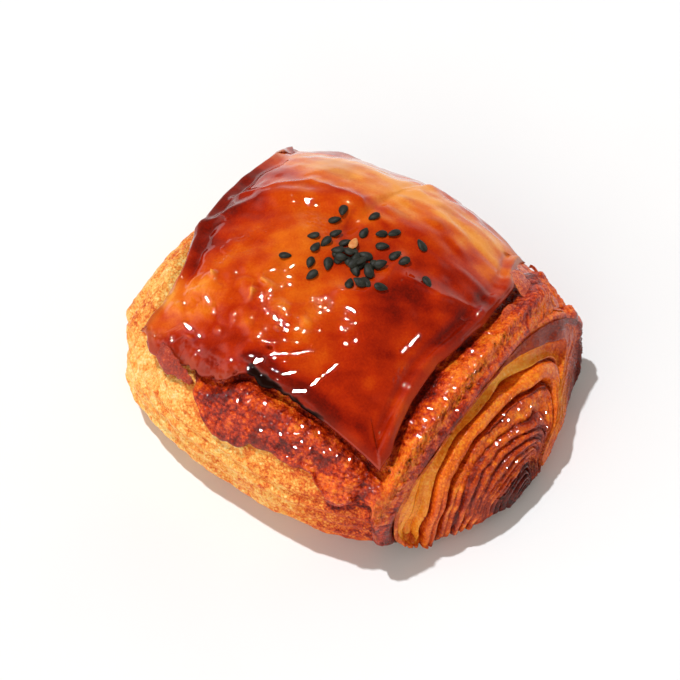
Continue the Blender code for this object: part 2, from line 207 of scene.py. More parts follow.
def outward(grid, closed):
    """Unit normals of a grid: the cross product of its steps around and its steps along."""
    along = np.gradient(grid, axis=0)
    if closed:
        around = np.roll(grid, -1, axis=1) - np.roll(grid, 1, axis=1)
    else:
        around = np.gradient(grid, axis=1)
    normal = np.cross(around, along)
    return normal / np.maximum(np.linalg.norm(normal, axis=2, keepdims=True), 1e-9)


def eased_in(places):
    """Keeps places inside the part's box: within EASE of a side, what goes past by d only goes on by
    EASE * tanh(d / EASE). The underside is left flat."""
    low, high = (np.array(corner) / MM for corner in cad_box)
    past = np.maximum(places - (high - EASE), 0)
    short = np.maximum(low + EASE - places, 0) * (1, 1, 0)
    return places - (past - EASE * np.tanh(past / EASE)) + (short - EASE * np.tanh(short / EASE))


def placed(name, data):
    """A new object of that name in the scene."""
    made = bpy.data.objects.new(name, data)
    bpy.context.scene.collection.objects.link(made)
    return made


def grid_piece(name, grid, closed, masks):
    """Mesh of quads over a grid of points in millimetres, joined round its second index if closed.
    Each mask becomes a point attribute. Points that meet are merged, which closes seams and poles."""
    rows, columns = grid.shape[:2]
    index = np.arange(rows * columns).reshape(rows, columns)
    after = np.roll(index, -1, axis=1) if closed else index[:, 1:]
    near = index if closed else index[:, :-1]
    quads = np.stack([near[:-1], after[:-1], after[1:], near[1:]], axis=-1).reshape(-1, 4)
    places = eased_in(grid.reshape(-1, 3) + (*SHEET_CENTRE, 0.0))
    mesh = bpy.data.meshes.new(name)
    mesh.vertices.add(len(places))
    mesh.vertices.foreach_set("co", (places * MM).ravel())
    mesh.loops.add(quads.size)
    mesh.loops.foreach_set("vertex_index", quads.ravel())
    mesh.polygons.add(len(quads))
    mesh.polygons.foreach_set("loop_start", np.arange(0, quads.size, 4))
    mesh.update(calc_edges=True)
    for key, values in masks.items():
        values = np.broadcast_to(values, (rows, columns)).ravel().astype(np.float32)
        mesh.attributes.new(key, "FLOAT", "POINT").data.foreach_set("value", values)
    bm = bmesh.new()
    bm.from_mesh(mesh)
    bmesh.ops.remove_doubles(bm, verts=bm.verts, dist=WELD)
    bmesh.ops.dissolve_degenerate(bm, edges=bm.edges, dist=SLIVER)
    bm.to_mesh(mesh)
    bm.free()
    mesh.polygons.foreach_set("use_smooth", np.ones(len(mesh.polygons), dtype=bool))
    return placed(name, mesh)


def pale_relief(x, degrees, z):
    """Soft pleats of dough layers along the front, waving with x."""
    pale = rise(degrees, 150, 175) * rise(215 - degrees, 0, 15)
    lobe = 1.3 * bump(degrees, 188, 12) * rise(-x, 24, 34)
    return 0.35 * pale * np.sin(z * 1.6 + 1.2 * np.sin(x / 7)) + lobe


def left_relief(share, degrees):
    """A groove between the outer pillow and the coil inside it, and a soft swelling beside it."""
    groove = -2.0 * bump(share, 0.72, 0.07) * rise(235 - degrees, 0, 25) * rise(degrees, 20, 60)
    notch = -2.8 * bump(degrees, 182, 15) * rise(share, 0.25, 0.6) * rise(1 - share, 0, 0.2)
    lobe = 1.3 * bump(degrees, 188, 12) * rise(share, 0.88, 1)
    return groove + notch + lobe + 0.8 * bump(share, 0.86, 0.08) - 0.5 * bump(share, 0.3, 0.1)


def collar(x, degrees):
    """The rounded fold that stands up along the roll's right rim."""
    return 1.3 * bump(x, 39.5, 2.2) * rise(degrees, 20, 50) * rise(192 - degrees, 0, 30)


def crust_edge(x):
    """Turn, in degrees, of the torn front edge: a start plus smooth steps up and down, and ragged."""
    smooth = EDGE_START + sum(step * rise(x, low, high) for step, low, high in EDGE_STEPS)
    line = x[..., None]
    return smooth + 1.3 * cloud(line, 4.4, 21) + 0.6 * cloud(line, 1.7, 22)


def dough_core():
    """Left end, skin and a tucked-in right end as one closed grid of rings."""
    turn = np.linspace(0, 2 * math.pi, 420, endpoint=False)[None, :]
    share = np.linspace(0.0, 1.0, 70, endpoint=False)[:, None]
    length = np.linspace(0.0, 1.0, 130)[:, None]
    share, end_turn = np.broadcast_arrays(share, turn)
    length, skin_turn = np.broadcast_arrays(length, turn)
    x = rim_left(skin_turn) * (1 - length) + rim_right(skin_turn) * length
    skin = np.stack([x, *section(x, skin_turn)], axis=-1)
    degrees = np.degrees(end_turn)
    grid = np.concatenate([left_end(share, end_turn), skin])
    skin_degrees = np.degrees(skin_turn)
    lift = np.concatenate([
        left_relief(share, degrees),
        pale_relief(x, skin_degrees, skin[..., 2]) + collar(x, skin_degrees),
    ])
    lift = lift + 0.45 * cloud(grid, 7.0, 1) + 0.26 * cloud(grid, 2.6, 2) + 0.2 * cloud(grid, 1.2, 3)
    turned = np.concatenate([degrees, skin_degrees])
    covered = rise(crust_edge(grid[..., 0]) - turned, 1, 7) * rise(grid[..., 0], -26, -20)
    lift = lift * (1 - covered) - 0.4 * covered
    press = pressed_in(*grid.transpose(2, 0, 1))
    lift = lift * rise(grid[..., 2], 0.5, 4.0) * (1 - press) - SHEET_SINK * press
    moved = grid + outward(grid, True) * lift[..., None]
    moved[..., 2] = np.where(grid[..., 2] <= 0, 0, np.maximum(moved[..., 2], 0))
    tuck = np.array([RIM_RIGHT - 4.0, -2.0, 14.0])
    inner = [moved[-1:] * k + tuck * (1 - k) for k in (0.9, 0.5, 0.0)]
    moved = np.concatenate([moved, *inner])
    height, along = moved[..., 2], moved[..., 0]
    turned = np.concatenate([turned, np.repeat(turned[-1:], 3, axis=0)])
    below_edge = turned - crust_edge(along)
    bake = PALE_BAKE + 0.1 * cloud(moved, 6.0, 4) + 0.1 * cloud(moved, 1.3, 5)
    bake = bake + 0.1 * rise(along, -25, 20) + 0.26 * rise(along, 18, 37) + 0.5 * rise(along, 38, 42)
    bake = bake + 0.1 * rise(-along, 34, 42) * rise(height, 12, 24) + 0.12 * rise(6 - height, 0, 5)
    # The darker line just below the crust's torn edge, towards the right, is painted shadow under that edge.
    bake = bake + 0.3 * bump(below_edge, 1.5, 2.0) * rise(along, 26, 31) + UNDERSIDE_BAKE * (height <= 0.05)
    return moved, bake


core_grid, core_bake = dough_core()
dough_roll = grid_piece("dough_roll", core_grid, True, {"bake": core_bake, "crisp": 0.0})


def linear(red, green, blue):
    """Screen colour, 0 to 255, as the linear colour that a shader takes."""
    values = [c / 255 for c in (red, green, blue)]
    return (*(c / 12.92 if c <= 0.04045 else ((c + 0.055) / 1.055) ** 2.4 for c in values), 1.0)


def fill_sockets(tree, node, sockets):
    """Sets each of these sockets of a node to its value, or links it to another node's socket."""
    for key, value in sockets.items():
        if isinstance(value, bpy.types.NodeSocket):
            tree.links.new(value, node.inputs[key])
        else:
            node.inputs[key].default_value = value


def add_node(tree, kind, sockets=None, **settings):
    """A shader node with its settings made and its sockets filled."""
    made = tree.nodes.new(kind)
    for key, value in settings.items():
        setattr(made, key, value)
    fill_sockets(tree, made, sockets or {})
    return made


def worked_out(tree, kind, first, second):
    """Math node: first and second, each a number or a socket, joined by kind."""
    return add_node(tree, "ShaderNodeMath", {0: first, 1: second}, operation=kind).outputs[0]


def noise_at(tree, millimetres, detail=2.0, roughness=0.5, kind="ShaderNodeTexNoise"):
    """Noise with features about that large, read in the piece's own coordinates."""
    place = add_node(tree, "ShaderNodeTexCoord").outputs["Object"]
    sockets = {"Vector": place, "Scale": 1 / (millimetres * MM)}
    if kind == "ShaderNodeTexNoise":
        sockets |= {"Detail": detail, "Roughness": roughness}
    return add_node(tree, kind, sockets).outputs[0]


def colour_ramp(tree, amount, stops):
    """Colours by amount, from (position, colour) stops."""
    made = add_node(tree, "ShaderNodeValToRGB", {"Fac": amount})
    while len(made.color_ramp.elements) < len(stops):
        made.color_ramp.elements.new(0.5)
    for element, (position, colour) in zip(made.color_ramp.elements, stops):
        element.position = position
        element.color = colour
    return made.outputs["Color"]


def mixed(tree, amount, first, second):
    """Colour mix of first and second by amount."""
    made = add_node(tree, "ShaderNodeMix", {0: amount, 6: first, 7: second}, data_type="RGBA")
    return made.outputs[2]


def oven_colour_group(name, levels, colours, crisp_colour):
    """Dough colour from how far it has baked, a colour at each level, with fine freckles, pinprick bubbles
    that bake less on top, and another colour on its crisp edges. Puts out colour and surface height."""
    tree = bpy.data.node_groups.new(name, "ShaderNodeTree")
    for socket in ("Bake", "Crisp", "Freckle", "Bubbles"):
        tree.interface.new_socket(socket, in_out="INPUT", socket_type="NodeSocketFloat")
    tree.interface.new_socket("Colour", in_out="OUTPUT", socket_type="NodeSocketColor")
    tree.interface.new_socket("Height", in_out="OUTPUT", socket_type="NodeSocketFloat")
    given = tree.nodes.new("NodeGroupInput").outputs
    fine = noise_at(tree, 0.55, detail=3.0, roughness=0.6)
    broad = noise_at(tree, 2.2, detail=3.0, roughness=0.55)
    freckles = worked_out(tree, "SUBTRACT", worked_out(tree, "ADD", fine, broad), 1.0)
    freckles = worked_out(tree, "MULTIPLY", freckles, given["Freckle"])
    froth = noise_at(tree, 1.0, kind="ShaderNodeTexVoronoi")
    froth = worked_out(tree, "MAXIMUM", worked_out(tree, "SUBTRACT", 0.5, froth), 0.0)
    froth = worked_out(tree, "MULTIPLY", froth, given["Bubbles"])
    bake = worked_out(tree, "SUBTRACT", worked_out(tree, "ADD", given["Bake"], freckles), froth)
    stops = [(level, linear(*shade)) for level, shade in zip(levels, colours)]
    colour = mixed(tree, given["Crisp"], colour_ramp(tree, bake, stops), linear(*crisp_colour))
    height = worked_out(tree, "ADD", fine, worked_out(tree, "MULTIPLY", broad, 1.5))
    height = worked_out(tree, "ADD", height, froth)
    fill_sockets(tree, tree.nodes.new("NodeGroupOutput"), {"Colour": colour, "Height": height})
    return tree


BAKE_LEVELS = (0.0, 0.2, 0.36, 0.5, 0.64, 0.8, 1.0)
PALE_COLOURS = (
    (255, 222, 150), (252, 192, 96), (242, 146, 54), (222, 100, 30), (190, 58, 10), (130, 24, 4), (54, 10, 4))
oven_colour = oven_colour_group("oven colour", BAKE_LEVELS, PALE_COLOURS, (112, 32, 18))


def mask_of(tree, name):
    """The value of one of the piece's point attributes."""
    return add_node(tree, "ShaderNodeAttribute", attribute_name=name).outputs["Fac"]


def new_material(name):
    """A material, its node tree and its main shader."""
    material = bpy.data.materials.new(name)
    material.use_nodes = True
    return material, material.node_tree, material.node_tree.nodes["Principled BSDF"]


def dough_material(name, colours, freckle, bubbles, depth, roughness, sheen, soft, coat=(0.0, 0.03, 1.5)):
    """Baked dough: the group's colour and its height as bumps that many millimetres deep, light passing
    a little way in where soft, and a coat of egg wash or glaze, given by weight, roughness and index."""
    material, tree, shader = new_material(name)
    group = add_node(tree, "ShaderNodeGroup", {
        "Bake": mask_of(tree, "bake"), "Crisp": mask_of(tree, "crisp"),
        "Freckle": freckle, "Bubbles": bubbles}, node_tree=colours)
    dent = add_node(tree, "ShaderNodeBump", {
        "Strength": 1.0, "Distance": depth * MM, "Height": group.outputs["Height"]})
    fill_sockets(tree, shader, {
        "Base Color": group.outputs["Colour"], "Normal": dent.outputs["Normal"],
        "Roughness": roughness, "Specular IOR Level": sheen,
        "Subsurface Weight": soft, "Subsurface Radius": GLOW_COLOURS, "Subsurface Scale": GLOW_REACH,
        "Coat Weight": coat[0], "Coat Roughness": coat[1], "Coat IOR": coat[2],
    })
    return material


dough_roll.data.materials.append(dough_material(
    "pale dough", oven_colour, freckle=0.64, bubbles=0.5, depth=0.6, roughness=0.45, sheen=0.25, soft=0.2))
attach(dough_roll, "root")
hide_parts("rolled_pastry")

# ---------------------------------------------------------------------------------------------
# Browned outer layer. The last turn of the rolled dough, brushed with egg and blistered in the oven.
# It lies over the pale dough from the torn edge along the front, over the top and down the back,
# and its right edge is the crisp rim round the open coil.

CRUST_COLOURS = (
    (255, 210, 116), (255, 176, 64), (250, 138, 36), (236, 98, 22), (194, 52, 8), (128, 22, 3), (54, 10, 4))
WRAP_LEFT = -26.5
WRAP_THICK = 0.9
WRAP_BACK = -8.0  # degrees of turn at which it meets the foot behind
GROOVE_X, RIDGE_X = 35.2, 40.0  # the groove beside the rim's upright fold, and the fold's crest
ARC_PER_DEGREE = 0.8  # millimetres round the roll
VIEW_TURN, VIEW_RISE = 35.0, 54.0  # degrees round from the front, and up
VIEW_FAR, VIEW_HEIGHT = 600.0, 20.0  # the viewer's distance from a point that high over the table
LAMP_TURN, LAMP_RISE = 52.0, 69.0  # degrees round from straight opposite the viewer, and up
FLAT_STRAY = 0.014
CRUST_PATCHES = (  # middle along x and round the roll, spread each way, how many flats and how wide
    (39.8, 104, 1.5, 10, 70, 0.7), (39.8, 82, 1.2, 7, 24, 0.66),
    (15, 118, 11, 3, 50, 0.74), (34, 120, 3, 4, 24, 0.74),
)


def way_to(turned, raised):
    """Unit vector that many degrees round from straight in front towards the right, and that many up."""
    turned, raised = math.radians(turned), math.radians(raised)
    flat = math.cos(raised)
    return np.array((math.sin(turned) * flat, -math.cos(turned) * flat, math.sin(raised)))


TOWARD_VIEWER, TOWARD_LAMP = way_to(VIEW_TURN, VIEW_RISE), way_to(VIEW_TURN + 180 + LAMP_TURN, LAMP_RISE)


def along_line(x, y, points):
    """Distance from (x, y) to a line through the points, and how far to its left (x, y) lies."""
    nearest, side = np.full(x.shape, 1e9), np.zeros(x.shape)
    for (x0, y0), (x1, y1) in zip(points, points[1:]):
        dx, dy = x1 - x0, y1 - y0
        t = np.clip(((x - x0) * dx + (y - y0) * dy) / (dx * dx + dy * dy), 0, 1)
        away = np.hypot(x - x0 - t * dx, y - y0 - t * dy)
        leftward = (dx * (y - y0) - dy * (x - x0)) / math.hypot(dx, dy)
        side = np.where(away < nearest, leftward, side)
        nearest = np.minimum(nearest, away)
    return nearest, np.sign(side) * nearest


def glints(points, a, b, flats, patches, seed):
    """Flat-sided wrinkles and dried bubbles, which catch the lamp. Round each short line of surface
    coordinates a, b, points move on to one flat by window * (facing . (middle - point)), with a ragged
    window that fades at its rim. The flats face half way between the lamp and the viewer, or a little
    astray. Patches scatter small ones that keep clear of each other."""
    draw = random.Random(seed)
    flats = list(flats)
    ragged = 0.4 * cloud(np.stack([a, b], axis=-1), 0.6, seed)
    strays = [0.3 * FLAT_STRAY] * len(flats)
    for middle_a, middle_b, reach_a, reach_b, count, width in patches:
        for _ in range(count):
            flat_a, flat_b = draw.gauss(middle_a, reach_a), draw.gauss(middle_b, reach_b)
            run, way = draw.uniform(0, 0.6), draw.uniform(-0.6, 1.4)
            if all(math.hypot(flat_a - other[0], flat_b - other[1]) > 2.2 * width for other in flats):
                flats.append((flat_a, flat_b, flat_a + run * math.cos(way), flat_b + run * math.sin(way),
                              width * draw.uniform(0.75, 1.25)))
                strays.append(FLAT_STRAY)
    for (a0, b0, a1, b1, wide), stray in zip(flats, strays):
        away, _ = along_line(a, b, ((a0, b0), (a1, b1)))
        window = rise(wide * 1.4 - away + wide * ragged, 0, wide * 0.7)
        nearest = np.argmin(np.hypot(a - (a0 + a1) / 2, b - (b0 + b1) / 2))
        middle = points.reshape(-1, 3)[nearest]
        eye = TOWARD_VIEWER * VIEW_FAR + (0, 0, VIEW_HEIGHT) - middle
        facing = TOWARD_LAMP + eye / np.linalg.norm(eye) + [draw.gauss(0, stray) for _ in range(3)]
        facing /= np.linalg.norm(facing)
        points = points + (window * ((middle - points) @ facing))[..., None] * facing
    return points


def outer_layer():
    """Grid from the front edge over to the back, and from the left edge to the rim."""
    across = np.linspace(0, 1, 250)[:, None]
    across = across * (1.35 - 0.35 * across)  # closer rows towards the rim, where the fold stands up
    over = np.linspace(0, 1, 390)[None, :]
    rough_x = WRAP_LEFT + across * (RIM_RIGHT - WRAP_LEFT)
    edge = crust_edge(rough_x)
    degrees = edge + (WRAP_BACK - edge) * over
    turn = np.radians(degrees)
    left = WRAP_LEFT + 2.2 * cloud(degrees[..., None], 9.0, 23) + 0.8 * cloud(degrees[..., None], 3.0, 34)
    right = rim_right(turn) + 0.7
    x = left * (1 - across) + right * across
    grid = np.stack([x, *section(x, turn)], axis=-1)
    from_edge = np.minimum(np.minimum((edge - degrees) * ARC_PER_DEGREE, x - left), right - x)
    thick = np.sqrt(1 - (1 - np.clip(from_edge / 0.9, 0, 1)) ** 2)
    arc = degrees * ARC_PER_DEGREE
    open_crust = rise(from_edge, 0.5, 3.0)
    big, small = blisters(x, arc, 3.4, 24), blisters(x, arc, 1.5, 25)
    bubbles = 0.8 * big * (0.4 + cloud(grid, 6.0, 32)) + 0.6 * small + 0.35 * blisters(x, arc, 0.95, 31)
    lumps = 0.7 * cloud(grid, 8.0, 26) + 0.3 * cloud(grid, 3.0, 27)
    lip = 0.55 * bump(from_edge, 1.1, 0.9) * (0.6 + cloud(grid, 5.0, 28))
    layers = 0.8 * rise(x, 22, 34) * rise(40 - degrees, 0, 12) * np.sin(degrees / 3.1)
    groove = -1.3 * bump(x, GROOVE_X, 1.7) * rise(degrees, 40, 70)
    ridge = 0.9 * bump(x, RIDGE_X, 2.6) * rise(degrees, 30, 60)
    outer_ridge = 0.8 * bump(x, 43.0, 1.2) * rise(degrees, 50, 80) * rise(130 - degrees, 0, 25)
    lift = WRAP_THICK + collar(x, degrees) + open_crust * (bubbles + lumps) + lip + layers
    lift = lift + groove + ridge + outer_ridge
    press = pressed_in(*grid.transpose(2, 0, 1))
    lift = lift * (1 - press) + (0.5 - SHEET_SINK) * press
    lift = -0.7 + (lift + 0.7) * thick
    normal = outward(grid, False)
    normal = normal * np.sign(np.sum(normal * (grid - (0, 0, 12)), axis=-1, keepdims=True))
    moved = glints(grid + normal * lift[..., None], x, arc, (), CRUST_PATCHES, 18)
    moved[..., 2] = np.maximum(moved[..., 2], 0)
    tops = np.clip(small + 0.5 * big, 0, 1.2)
    bake = 0.74 - 0.26 * tops
    bake = bake + 0.1 * cloud(grid, 9.0, 29) + 0.16 * cloud(grid, 4.0, 33) + 0.1 * cloud(grid, 1.8, 35)
    # Darker along the groove beside the upright fold: painted shade. Paler along the fold's crest, set on its
    # lit side: partly paler bake, partly painted light.
    bake = bake + 0.12 * bump(x, GROOVE_X, 2.0) - 0.23 * bump(x, RIDGE_X - 0.6, 2.5) * rise(degrees, 70, 105)
    bake = bake + 0.06 * rise(x, -14, -4) * rise(37 - x, 0, 3) + 0.04 * bump(right - x, 0, 1.2)
    bake = bake + 0.12 * rise(x, 41, 43) * rise(degrees, 80, 110)
    bake = bake + 0.2 * rise(degrees, 158, 172) * rise(x, 36, 40)
    bake = np.clip(bake - 0.06 * rise(55 - degrees, 0, 25), 0.48, 0.88)
    crisp = (0.75 - 0.5 * bump(right - x, 0, 1.5)) * bump(from_edge, 0.1, 0.9)
    crisp = crisp + 0.2 * rise(cloud(grid, 4.0, 30), 0.2, 0.8) * rise(degrees, 120, 140)
    return moved, bake, np.clip(crisp, 0, 0.8)


wrap_grid, wrap_bake, wrap_crisp = outer_layer()
crust_wrap = grid_piece("browned_outer_layer", wrap_grid, False, {"bake": wrap_bake, "crisp": wrap_crisp})
crust_colour = oven_colour_group("crust colour", BAKE_LEVELS, CRUST_COLOURS, (144, 60, 46))
egg_wash = dough_material("egg-washed crust", crust_colour, freckle=0.4, bubbles=0.3, depth=0.45,
                          roughness=0.16, sheen=0.14, soft=0.1, coat=(0.5, 0.06, 1.4))
crust_wrap.data.materials.append(egg_wash)
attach(crust_wrap, "root")
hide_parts("rolled_pastry")

# ---------------------------------------------------------------------------------------------
# Open right end of the roll. The cut edge of the coiled dough: the layers spring apart in the oven
# into arches one inside another, their feet spreading over the tray in a comb of plates. Honey
# coloured where they were sheltered, red-brown and glossy where they stand out.

BUTTER_COLOURS = (
    (255, 214, 120), (255, 182, 66), (248, 148, 36), (230, 106, 20), (190, 64, 10), (126, 28, 4), (54, 10, 4))
COIL_RIGHT, COIL_RIGHT_HALF = (58.5, -8.0, 11.0), (18.0, 10.0)
NEST_Y, NEST_TOP, NEST_POWER = -8.0, 30.9, 2.4
NEST_FRONT, NEST_BACK, NEST_CURL = 33.0, 41.0, 8.0
INNER_TOP, INNER_GROOVE, LAYER_STEP = 0.745, 0.752, 0.058  # of level, which is 1 on the outermost arch
LOBE_FOOT, LOBE_WIDE, OUTER_GROOVE = 0.762, 0.088, 0.857
HONEY_FOOT, HONEY_WIDE, PLATE_STEP = 0.862, 0.113, 0.05
COIL_PATCHES = (  # middle and spread in y and z, how many flats and how wide
    (-14, 12, 2.2, 2.4, 34, 0.42), (-5, 20, 3.0, 1.8, 26, 0.42),
    (-19, 21, 6, 3, 8, 0.42), (4, 14, 3, 3, 8, 0.42),
)


def right_end(share, turn):
    """The right end's rings, from the rim in to the middle of the coil."""
    c, s = np.cos(turn), np.sin(turn)
    x0, y0, z0 = COIL_RIGHT
    coil = np.stack([x0 - 3.0 - 4.5 * s + 2.0 * c, y0 + COIL_RIGHT_HALF[0] * c,
                     z0 + 1 + COIL_RIGHT_HALF[1] * s], axis=-1)
    rim = np.stack([rim_right(turn), *section(np.full_like(turn, RIM_RIGHT), turn)], axis=-1)
    return end_rings(share, rim, coil, np.array(COIL_RIGHT), 1.0)


def nest_level(y, z):
    """1 on the outermost arch and smaller on each one inside it: the (|y| / w)^p + (z / h)^p rule of a
    superellipse standing on the tray. The far legs curl in under the coil, as w shrinks towards the foot."""
    width = np.where(y < NEST_Y, NEST_FRONT, NEST_CURL + (NEST_BACK - NEST_CURL) * rise(z, 6, 22))
    return ((np.abs(y - NEST_Y) / width) ** NEST_POWER + (z / NEST_TOP) ** NEST_POWER) ** (1 / NEST_POWER)


def rounded(phase, edge=4):
    """Row of round-topped layers with narrow grooves between them, one for each whole step of phase."""
    return 1 - np.abs(2 * (phase - np.floor(phase)) - 1) ** edge


def layered_end():
    """Rings with the steps and grooves of the layers, closed behind inside the roll."""
    turn = np.linspace(0, 2 * math.pi, 540, endpoint=False)[None, :]
    share = np.linspace(1.0, 0.0, 175)[:, None]
    share, turn = np.broadcast_arrays(share, turn)
    grid = right_end(share, turn)
    degrees = np.degrees(turn)
    around = np.stack([np.cos(turn), np.sin(turn)], axis=-1)
    y, z = grid[..., 1], grid[..., 2]
    level = nest_level(y, z)
    level = level + 0.045 * cloud(grid, 13.0, 41) * rise(0.78 - level, 0, 0.2) + 0.014 * cloud(grid, 7.0, 53)
    level = level + 0.007 * cloud(grid, 3.0, 47)
    sheaf = np.concatenate([(level * 100)[..., None], around * 3.5], axis=-1)
    over = rise(z, 13, 20)  # 1 on the arches' tops, 0 at their feet
    inner = rise(INNER_TOP - level, 0, 0.012)
    lobe = rise(level, 0.76, 0.775) * rise(LOBE_FOOT + LOBE_WIDE - level, 0, 0.012)
    top_right = bump(degrees, 68, 34)
    rim_band = np.maximum(rise(share, 0.955, 0.97), rise(level, 0.953, 0.965) * rise(top_right, 0.25, 0.6))
    honey = rise(level - HONEY_FOOT, 0, 0.01) * (1 - rim_band)
    dome = rise(share, 0.0, 0.05) * rise(z, 0.3, 3.0)
    depth = (INNER_TOP - level) / LAYER_STEP
    count = np.where(depth < 1.6, depth / 1.6, depth - 0.6) + 0.3 * cloud(grid, 5.0, 50)
    odd = cloud(np.floor(count)[..., None] * 3.7 + 0.3, 1.0, 52)  # each layer baked its own way

    coils = inner * (0.9 * rounded(count) - 0.4 + 0.5 * odd) * (1 + 0.5 * cloud(grid, 5.0, 51))
    bands = -2.0 * honey * rounded(np.clip((level - HONEY_FOOT) / HONEY_WIDE, 0, 0.999), 2) + 0.9 * rim_band
    bands = bands + lobe * rounded((level - LOBE_FOOT) / LOBE_WIDE, 2)
    bands = bands - 1.8 * bump(level, OUTER_GROOVE, 0.008) - 1.9 * bump(level, INNER_GROOVE, 0.009)
    cavity = -3.6 * bump(level, 0.852, 0.03) * bump(y, 2.5, 4.0) * rise(z, 18, 22)
    plates = 0.9 * (1 - over) * rise(0.99 - level, 0, 0.04) * (rounded(level / PLATE_STEP) - 0.5)
    leaves = 0.26 * cloud(sheaf, 3.4, 42) + 0.16 * cloud(sheaf, 1.3, 43) * (1 - 0.6 * honey)
    grain = 0.4 * blisters(y, z, 1.1, 44) * inner * over
    grain = grain + 0.6 * cloud(grid, 6.0, 45) + 0.12 * cloud(grid, 1.2, 54)
    lift = (coils + bands + cavity + plates + leaves + grain) * dome
    moved = glints(grid + outward(grid, True) * lift[..., None], y, z, (), COIL_PATCHES, 19)
    moved[..., 2] = np.maximum(moved[..., 2], 0)
    tuck = np.array([RIM_RIGHT - 8.0, -2.0, 14.0])
    behind = [moved[:1] * k + tuck * (1 - k) for k in (0.0, 0.5, 0.97)]
    moved = np.concatenate([*behind, moved])

    # Painted shade: darker in the grooves between the layers, and between the plates of the comb at the foot.
    groove = 0.26 * bump(level, INNER_GROOVE, 0.012) + 0.2 * bump(level, OUTER_GROOVE, 0.009)
    groove = groove + 0.2 * inner * (1 - rounded(count, 2))
    groove = groove + 0.14 * (1 - over) * (1 - rounded(level / PLATE_STEP, 2))
    bake = 0.46 + 0.14 * inner + 0.06 * lobe - 0.12 * honey + (0.06 + 0.18 * top_right) * rim_band + groove
    bake = bake + 0.05 * cloud(sheaf, 3.4, 42) + 0.05 * cloud(sheaf, 1.3, 43) + 0.05 * cloud(grid, 5.0, 48)
    bake = bake - 0.24 * bump(level, 0.88, 0.03) * bump(y, 4.5, 4.5) * rise(z, 18, 22)
    # Painted shade of the underside: darker low at the front of the foot, and much darker round the coil's
    # low middle; the cap on the bake is raised near the foot so it can go that dark.
    bake = bake + 0.22 * rise(12 - z, 0, 9) * rise(y, -24, -8) + 0.28 * rise(y, 12, 26)
    bake = bake + 0.44 * rise(0.42 - level, 0, 0.1) + 0.09 * inner * odd
    bake = bake - 0.12 * inner * rise(cloud(grid, 1.5, 49), 0, 0.6)
    bake = np.clip(bake, 0.2, 0.84 + 0.1 * rise(16 - z, 0, 6))
    crisp = (0.15 + 0.5 * top_right) * rim_band + 0.2 * inner * rise(cloud(sheaf, 2.0, 46), 0.1, 0.7)
    crisp = np.clip(crisp, 0, 0.7)
    masks = (np.concatenate([np.repeat(mask[:1], 3, axis=0), mask]) for mask in (bake, crisp))
    return moved, *masks


end_grid, end_bake, end_crisp = layered_end()
coil_end = grid_piece("open_coil_end", end_grid, True, {"bake": end_bake, "crisp": end_crisp})
butter_colour = oven_colour_group("butter colour", BAKE_LEVELS, BUTTER_COLOURS, (120, 40, 24))
coil_end.data.materials.append(dough_material(
    "laminated edges", butter_colour, freckle=0.3, bubbles=0.25, depth=0.3,
    roughness=0.2, sheen=0.14, soft=0.15, coat=(0.35, 0.07, 1.5)))
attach(coil_end, "root")
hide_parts("rolled_pastry")

# ---------------------------------------------------------------------------------------------
# Glazed square sheet. A thin square of the same dough laid over the roll before baking, which sagged
# over it, lifted at its edges and corners, and was brushed twice with sugar glaze while hot.

GLAZE_LEVELS = (0.2, 0.4, 0.56, 0.7, 0.84, 0.94, 1.0)
# The near-black last colour is reached mostly in the painted shadow of the gap under the lifted front edge.
GLAZE_COLOURS = (
    (236, 150, 56), (216, 100, 14), (194, 64, 3), (170, 38, 1), (134, 20, 0), (92, 11, 1), (24, 8, 5))
SHEET_THICK = 1.3
DEEPEST_FOLD = -1.0
FREE_FROM = 0.8
EDGE_ROWS = (0.004, 0.01, 0.018, 0.03, 0.08, 0.2)  # shares past the edge: round it, then back underneath
EDGE_TURN = EDGE_ROWS[2]
LONG_FLATS = (  # x, y to x, y and half-width of the wrinkles' long flats
    (1.0, -31.4, 5.0, -29.0, 0.5), (5.0, -29.0, 9.4, -25.8, 0.45), (13.4, -32.6, 14.4, -29.4, 0.6),
    (14.4, -29.4, 15.6, -25.4, 0.5), (6.6, -33.6, 8.8, -31.8, 0.5), (10.8, -35.4, 13.4, -34.2, 0.6),
    (-1.4, -34.6, -0.4, -33.4, 0.9), (-24.0, -33.6, -20.4, -34.3, 0.6), (-20.4, -34.3, -17.4, -35.0, 0.5),
    (-27.5, -29.5, -26.6, -29.0, 0.6), (-22.4, -26.4, -20.6, -27.0, 0.6), (4.0, -35.6, 5.4, -35.7, 0.4),
    (26.9, -7.6, 26.6, -10.6, 0.5), (26.4, -12.0, 26.2, -13.2, 0.45), (28.4, -16.4, 28.5, -17.6, 0.4),
    (28.7, -19.4, 28.7, -20.0, 0.4), (32.6, 3.6, 33.2, 4.2, 0.4),
)
BUBBLE_PATCHES = (  # middle and spread in x and y, how many flats and how wide
    (-23.0, -27.4, 1.4, 1.2, 24, 0.36), (3.0, -16.0, 1.8, 1.5, 36, 0.36), (14.6, -16.8, 1.9, 1.7, 44, 0.36),
    (12.8, -13.6, 1.0, 1.0, 10, 0.36), (-1.8, -23.4, 1.4, 1.0, 20, 0.38), (-7.2, -20.8, 1.6, 1.2, 24, 0.36),
    (5.6, -19.6, 1.0, 0.8, 8, 0.38), (-24.0, -12.0, 1.8, 2.8, 20, 0.34), (-21.5, -5.0, 1.6, 1.6, 12, 0.34),
    (-10.5, 3.8, 2.2, 1.4, 22, 0.36), (-2.4, -29.0, 1.6, 0.8, 10, 0.38), (-12.0, -38.6, 6.0, 0.8, 24, 0.38),
    (-25.0, -38.0, 3.0, 0.8, 12, 0.38),
)
BLOBS = (  # x, y and width of swollen blisters
    (-20.5, -29.5, 3.0), (-9.5, -27.5, 2.6), (-24.5, -23.0, 2.4), (-3.5, -20.5, 2.2),
    (-15.5, -20.0, 2.6), (3.5, -21.0, 2.0), (-28.5, -30.0, 2.2), (-14.5, -32.0, 1.8),
)
